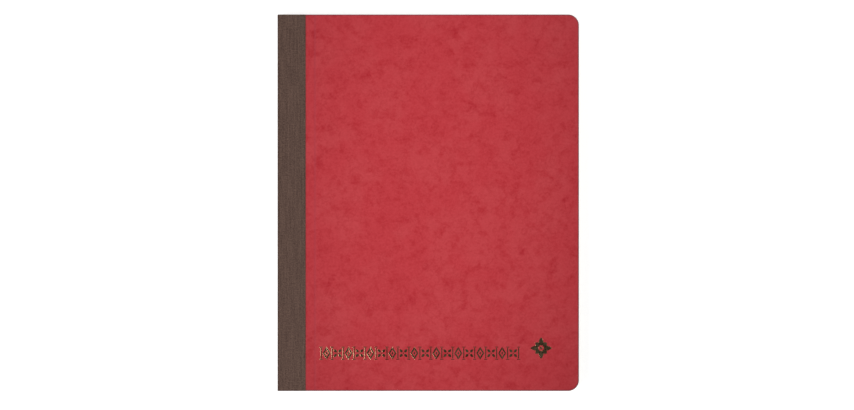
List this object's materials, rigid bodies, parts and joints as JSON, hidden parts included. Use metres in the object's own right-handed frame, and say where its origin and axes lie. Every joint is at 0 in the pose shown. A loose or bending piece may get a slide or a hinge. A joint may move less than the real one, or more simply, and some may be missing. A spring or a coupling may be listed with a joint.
{
  "type": "ledger book",
  "caption": "Flat rectangular ledger book: pressboard covers with rounded fore edge corners, a cloth strip round the spine, and ruled leaves that turn at a score line.",
  "frame": {"origin": "centre of the footprint, on the surface that the closed book lies on", "axes": "+X from the spine to the fore edge, +Y towards the head, +Z out of the front cover"},
  "size_m": [0.225, 0.281, 0.0103],
  "materials": {
    "cloth": "ribbed brown book cloth",
    "pressboard": "satin red pressboard with darker mottling",
    "paper": "matt ledger paper",
    "glue": "dried binding glue",
    "wire": "galvanised stitching wire",
    "gilt": "stamped gilt foil"
  },
  "bodies": {
    "binding": {"spine_cloth": "cloth", "spine_glue": "glue", "front_edge_strip": "pressboard", "back_edge_strip": "pressboard", "section_1_bound_edge": "paper", "section_2_bound_edge": "paper", "section_3_bound_edge": "paper", "section_4_bound_edge": "paper", "section_5": "paper", "section_6": "paper", "section_7": "paper", "section_8": "paper", "stitching_wire_1": "wire", "stitching_wire_2": "wire", "stitching_wire_3": "wire"},
    "front_cover": {"front_cover": "pressboard"},
    "back_cover": {"back_cover": "pressboard"},
    "leaves_1": {"section_1_leaves": "paper"},
    "leaves_2": {"section_2_leaves": "paper"},
    "leaves_3": {"section_3_leaves": "paper"},
    "leaves_4": {"section_4_leaves": "paper"}
  },
  "joints": [
    {"name": "section_1_turn", "type": "hinge", "parent": "binding", "child": "leaves_1", "pos_m": [-0.0845, 0, 0.01035], "axis": [0, -1, 0], "range_deg": [0, 179.5]},
    {"name": "section_2_turn", "type": "hinge", "parent": "binding", "child": "leaves_2", "pos_m": [-0.0845, 0, 0.01035], "axis": [0, -1, 0], "range_deg": [0, 178.6]},
    {"name": "section_3_turn", "type": "hinge", "parent": "binding", "child": "leaves_3", "pos_m": [-0.0845, 0, 0.01035], "axis": [0, -1, 0], "range_deg": [0, 177.71]},
    {"name": "section_4_turn", "type": "hinge", "parent": "binding", "child": "leaves_4", "pos_m": [-0.0845, 0, 0.01035], "axis": [0, -1, 0], "range_deg": [0, 176.81]},
    {"name": "front_cover_open", "type": "hinge", "parent": "leaves_1", "child": "front_cover", "pos_m": [-0.0845, 0, 0.01035], "axis": [0, 1, 0], "range_deg": [-179.5, 0]},
    {"name": "back_cover_open", "type": "hinge", "parent": "binding", "child": "back_cover", "pos_m": [-0.0845, 0, -0.00005], "axis": [0, 1, 0], "range_deg": [0, 179.5]}
  ],
  "couplings": [
    {"joint": "section_2_turn", "follows": "section_1_turn", "ratio": 0.995},
    {"joint": "section_3_turn", "follows": "section_1_turn", "ratio": 0.99},
    {"joint": "section_4_turn", "follows": "section_1_turn", "ratio": 0.985}
  ]
}
